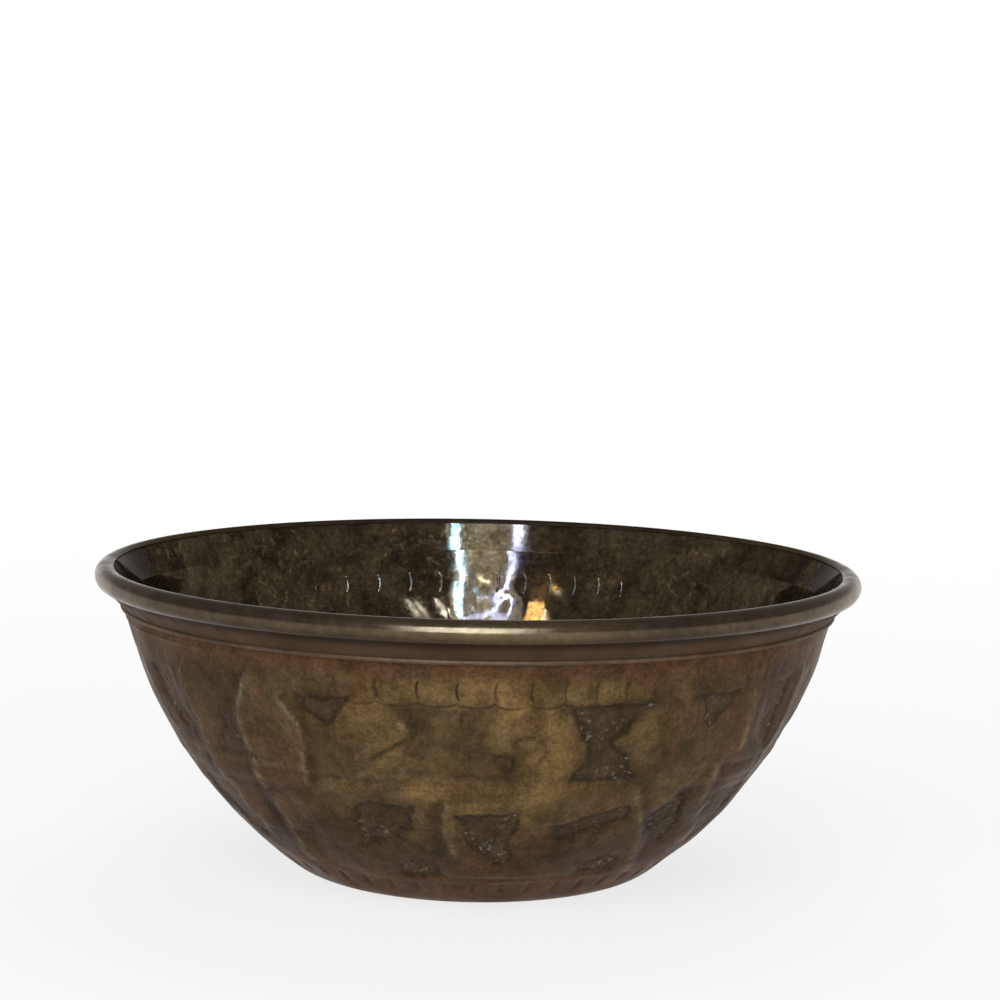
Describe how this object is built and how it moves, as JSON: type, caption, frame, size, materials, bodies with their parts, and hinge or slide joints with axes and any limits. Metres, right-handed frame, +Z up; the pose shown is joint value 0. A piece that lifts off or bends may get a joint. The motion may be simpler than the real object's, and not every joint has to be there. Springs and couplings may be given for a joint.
{
  "type": "offering bowl",
  "caption": "Round flat-based metal offering bowl with a curved chased wall and a beaded rim moulding closed over its edge; holds offerings set on an altar or shelf.",
  "frame": {"origin": "centre of the flat base, on the surface that the bowl stands on", "axes": "+Z up along the bowl's axis; the bowl is round about Z"},
  "size_m": [0.124, 0.124, 0.05],
  "materials": {
    "chased_sheet": "aged, dark brown patina over a copper-coloured alloy",
    "rim_brass": "smooth, worn olive-brown brass",
    "core_wire": "drawn wire, unpolished",
    "solder": "dull soft solder"
  },
  "bodies": {
    "root": {"bowl_shell": "chased_sheet", "rim_moulding": "rim_brass", "rim_wire": "core_wire", "solder_seam": "solder"}
  },
  "joints": []
}
